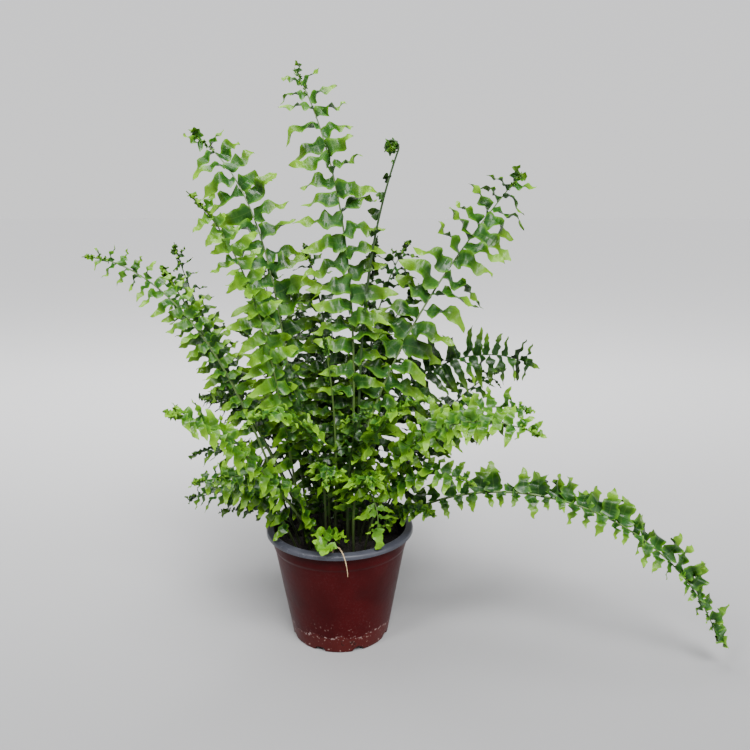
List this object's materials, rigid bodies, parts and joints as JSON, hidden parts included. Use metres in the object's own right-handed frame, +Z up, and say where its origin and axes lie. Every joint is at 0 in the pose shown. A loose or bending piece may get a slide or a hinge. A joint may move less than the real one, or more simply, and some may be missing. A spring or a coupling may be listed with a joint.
{
  "type": "potted fern",
  "caption": "Young fern with arching, wavy-leaved fronds growing from peat in a thin tapered nursery pot with a rolled rim.",
  "frame": {"origin": "centre of the pot's flat base, on the surface it stands on", "axes": "+Z up the pot's axis, +X towards the side that the longest arching frond leans to, -Y to the front"},
  "size_m": [0.3711, 0.2603, 0.3442],
  "materials": {
    "pot": "dusty satin red-brown, with a grey-blue rolled rim",
    "peat": "dark crumbly peat",
    "green_frond": "satin leaf, paler underneath",
    "light_frond": "satin young leaf, yellow-green",
    "young_stem": "satin dark green stem",
    "dry_stalk": "dry straw"
  },
  "bodies": {
    "root": {"dry_stalk": "dry_stalk", "frond_back_arch": "green_frond", "frond_back_far_left": "green_frond", "frond_back_left": "green_frond", "frond_back_low": "green_frond", "frond_back_low_left": "green_frond", "frond_back_low_right": "green_frond", "frond_back_right": "green_frond", "frond_back_small": "green_frond", "frond_back_tall": "green_frond", "frond_bud": "light_frond", "frond_collar_back": "green_frond", "frond_collar_back_left": "green_frond", "frond_collar_back_right": "green_frond", "frond_collar_front": "light_frond", "frond_collar_front_left": "light_frond", "frond_collar_front_right": "light_frond", "frond_collar_left": "green_frond", "frond_collar_middle": "light_frond", "frond_collar_right": "green_frond", "frond_crown_centre": "green_frond", "frond_crown_left": "green_frond", "frond_crown_right": "green_frond", "frond_far_left": "light_frond", "frond_fiddlehead": "young_stem", "frond_front_broad": "light_frond", "frond_front_left": "light_frond", "frond_front_low": "light_frond", "frond_front_right": "light_frond", "frond_front_rim": "light_frond", "frond_left": "green_frond", "frond_left_front": "light_frond", "frond_left_inner": "green_frond", "frond_left_low": "green_frond", "frond_left_lowest": "green_frond", "frond_left_outer": "green_frond", "frond_left_short": "light_frond", "frond_long_right": "green_frond", "frond_middle": "light_frond", "frond_right": "green_frond", "frond_right_dark": "green_frond", "frond_right_front": "light_frond", "frond_right_inner": "green_frond", "frond_tall_centre": "green_frond", "frond_tall_left": "green_frond", "frond_tall_right": "green_frond", "frond_young_dark": "young_stem", "peat": "peat", "pot": "pot", "runner": "young_stem"}
  },
  "joints": []
}
